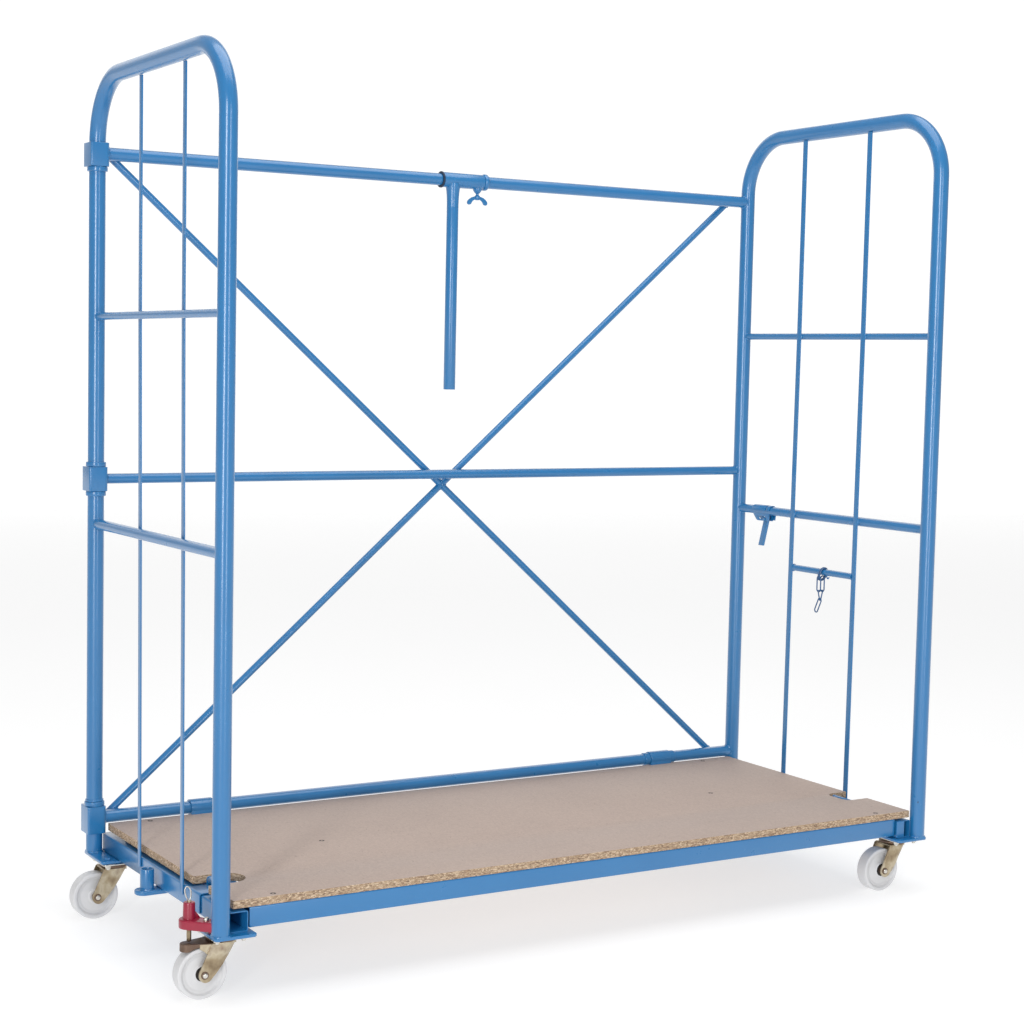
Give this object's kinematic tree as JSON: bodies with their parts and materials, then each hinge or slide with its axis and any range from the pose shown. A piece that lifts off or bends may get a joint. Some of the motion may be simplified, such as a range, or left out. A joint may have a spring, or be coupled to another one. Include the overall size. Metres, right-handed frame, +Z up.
{
  "type": "furniture roll cage",
  "caption": "Tall furniture roll cage: tubular end walls, cross braced back, fold-up chipboard deck, swivel castors and a sliding support arm.",
  "frame": {"origin": "middle of the part's bounding box in plan, on the floor under the castor wheels", "axes": "+X along the cage's length towards the fixed end wall, +Y from the open front to the braced back, +Z up"},
  "size_m": [1.818, 0.751, 1.8],
  "materials": {
    "blue_powder_coat": "satin powder coat",
    "zinc_plate": "bright zinc plate",
    "gold_zinc": "yellow passivated zinc",
    "white_nylon": "satin moulded nylon",
    "chain_steel": "dull zinc, partly coated",
    "chipboard": "smooth faced chipboard, raw edges",
    "red_lacquer": "dark red lacquer on a casting",
    "dark_liner": "moulded slide liner"
  },
  "bodies": {
    "frame": {"right_hoop": "blue_powder_coat", "right_upper_bar": "blue_powder_coat", "right_mid_rail": "blue_powder_coat", "right_rear_rod": "blue_powder_coat", "right_front_rod": "blue_powder_coat", "right_end_beam": "blue_powder_coat", "right_front_plate": "blue_powder_coat", "right_rear_plate": "blue_powder_coat", "right_front_castor_head": "zinc_plate", "right_rear_castor_head": "zinc_plate", "chain_bar": "blue_powder_coat", "back_top_tube": "blue_powder_coat", "back_mid_bar": "blue_powder_coat", "back_bottom_tube": "blue_powder_coat", "rising_brace": "blue_powder_coat", "falling_brace": "blue_powder_coat", "top_sleeve": "blue_powder_coat", "mid_sleeve": "blue_powder_coat", "bottom_sleeve": "blue_powder_coat", "catch_bracket": "blue_powder_coat"},
    "left_wall": {"left_hoop": "blue_powder_coat", "left_upper_bar": "blue_powder_coat", "left_mid_rail": "blue_powder_coat", "left_rear_rod": "blue_powder_coat", "left_front_rod": "blue_powder_coat", "left_end_beam": "blue_powder_coat", "left_front_plate": "blue_powder_coat", "left_rear_plate": "blue_powder_coat", "left_front_castor_head": "zinc_plate", "left_rear_castor_head": "zinc_plate", "lock_body": "red_lacquer", "coupling_socket": "blue_powder_coat"},
    "deck": {"deck_board": "chipboard", "deck_frame": "blue_powder_coat", "left_deck_hinge": "blue_powder_coat", "right_deck_hinge": "blue_powder_coat"},
    "left_front_castor": {"left_front_fork": "gold_zinc", "left_front_axle": "zinc_plate"},
    "left_front_roller": {"left_front_wheel": "white_nylon"},
    "left_rear_castor": {"left_rear_fork": "gold_zinc", "left_rear_axle": "zinc_plate"},
    "left_rear_roller": {"left_rear_wheel": "white_nylon"},
    "right_front_castor": {"right_front_fork": "gold_zinc", "right_front_axle": "zinc_plate"},
    "right_front_roller": {"right_front_wheel": "white_nylon"},
    "right_rear_castor": {"right_rear_fork": "gold_zinc", "right_rear_axle": "zinc_plate"},
    "right_rear_roller": {"right_rear_wheel": "white_nylon"},
    "left_latch_plate": {"left_latch": "blue_powder_coat"},
    "right_latch_plate": {"right_latch": "blue_powder_coat"},
    "direction_lock_pin": {"lock_pin": "zinc_plate"},
    "arm_liner": {"arm_bush": "dark_liner"},
    "arm": {"support_arm": "blue_powder_coat"},
    "arm_wing_bolt": {"wing_bolt": "zinc_plate"},
    "catch": {"catch_lever": "blue_powder_coat"},
    "upper_chain": {"chain_top_link": "chain_steel", "chain_left_link": "chain_steel", "chain_right_link": "chain_steel"},
    "lower_chain": {"chain_lower_link": "chain_steel"},
    "end_chain": {"chain_end_link": "chain_steel"}
  },
  "joints": [
    {"name": "left_wall_swing", "type": "hinge", "parent": "frame", "child": "left_wall", "pos_m": [-0.84046, 0.347, 0], "axis": [0, 0, 1], "range_deg": [-180, 0]},
    {"name": "deck_fold", "type": "hinge", "parent": "frame", "child": "deck", "pos_m": [0.02554, 0.347, 0.204], "axis": [-1, 0, 0], "range_deg": [0, 90]},
    {"name": "left_front_swivel", "type": "hinge", "parent": "left_wall", "child": "left_front_castor", "pos_m": [-0.81546, -0.3045, 0.105], "axis": [0, 0, 1], "continuous": true},
    {"name": "left_front_spin", "type": "hinge", "parent": "left_front_castor", "child": "left_front_roller", "pos_m": [-0.85946, -0.3045, 0.04957], "axis": [0, 1, 0], "continuous": true},
    {"name": "left_rear_swivel", "type": "hinge", "parent": "left_wall", "child": "left_rear_castor", "pos_m": [-0.81546, 0.2935, 0.105], "axis": [0, 0, 1], "continuous": true},
    {"name": "left_rear_spin", "type": "hinge", "parent": "left_rear_castor", "child": "left_rear_roller", "pos_m": [-0.85946, 0.2935, 0.04957], "axis": [0, 1, 0], "continuous": true},
    {"name": "right_front_swivel", "type": "hinge", "parent": "frame", "child": "right_front_castor", "pos_m": [0.86654, -0.3045, 0.105], "axis": [0, 0, 1], "continuous": true},
    {"name": "right_front_spin", "type": "hinge", "parent": "right_front_castor", "child": "right_front_roller", "pos_m": [0.82254, -0.3045, 0.04957], "axis": [0, 1, 0], "continuous": true},
    {"name": "right_rear_swivel", "type": "hinge", "parent": "frame", "child": "right_rear_castor", "pos_m": [0.86654, 0.2935, 0.105], "axis": [0, 0, 1], "continuous": true},
    {"name": "right_rear_spin", "type": "hinge", "parent": "right_rear_castor", "child": "right_rear_roller", "pos_m": [0.82254, 0.2935, 0.04957], "axis": [0, 1, 0], "continuous": true},
    {"name": "left_latch_flip", "type": "hinge", "parent": "left_wall", "child": "left_latch_plate", "pos_m": [-0.78026, -0.1905, 0.182], "axis": [0, 1, 0], "range_deg": [0, 172]},
    {"name": "right_latch_flip", "type": "hinge", "parent": "frame", "child": "right_latch_plate", "pos_m": [0.83134, -0.1675, 0.182], "axis": [0, -1, 0], "range_deg": [0, 172]},
    {"name": "lock_pin_travel", "type": "slide", "parent": "left_wall", "child": "direction_lock_pin", "axis": [0, 0, 1], "range_m": [0, 0.012]},
    {"name": "arm_slide", "type": "slide", "parent": "frame", "child": "arm_liner", "axis": [1, 0, 0], "range_m": [-0.21, 0.21]},
    {"name": "arm_swing", "type": "hinge", "parent": "arm_liner", "child": "arm", "pos_m": [0.02554, 0.347, 1.629], "axis": [-1, 0, 0], "range_deg": [-90, 180]},
    {"name": "wing_bolt_turn", "type": "hinge", "parent": "arm", "child": "arm_wing_bolt", "pos_m": [0.08754, 0.347, 1.59], "axis": [0, 0, 1], "continuous": true},
    {"name": "catch_lever_swing", "type": "hinge", "parent": "frame", "child": "catch", "pos_m": [0.89154, 0.2295, 0.822], "axis": [1, 0, 0], "range_deg": [-100, 72]},
    {"name": "chain_swing", "type": "hinge", "parent": "frame", "child": "upper_chain", "pos_m": [0.88254, -0.0105, 0.711], "axis": [0, 1, 0], "range_deg": [-25, 25]},
    {"name": "lower_link_swing", "type": "hinge", "parent": "upper_chain", "child": "lower_chain", "pos_m": [0.88254, -0.0105, 0.665], "axis": [1, 0, 0], "range_deg": [-30, 30]},
    {"name": "end_link_swing", "type": "hinge", "parent": "lower_chain", "child": "end_chain", "pos_m": [0.88254, -0.0105, 0.6423], "axis": [1, 0, 0], "range_deg": [-60, 25]}
  ]
}
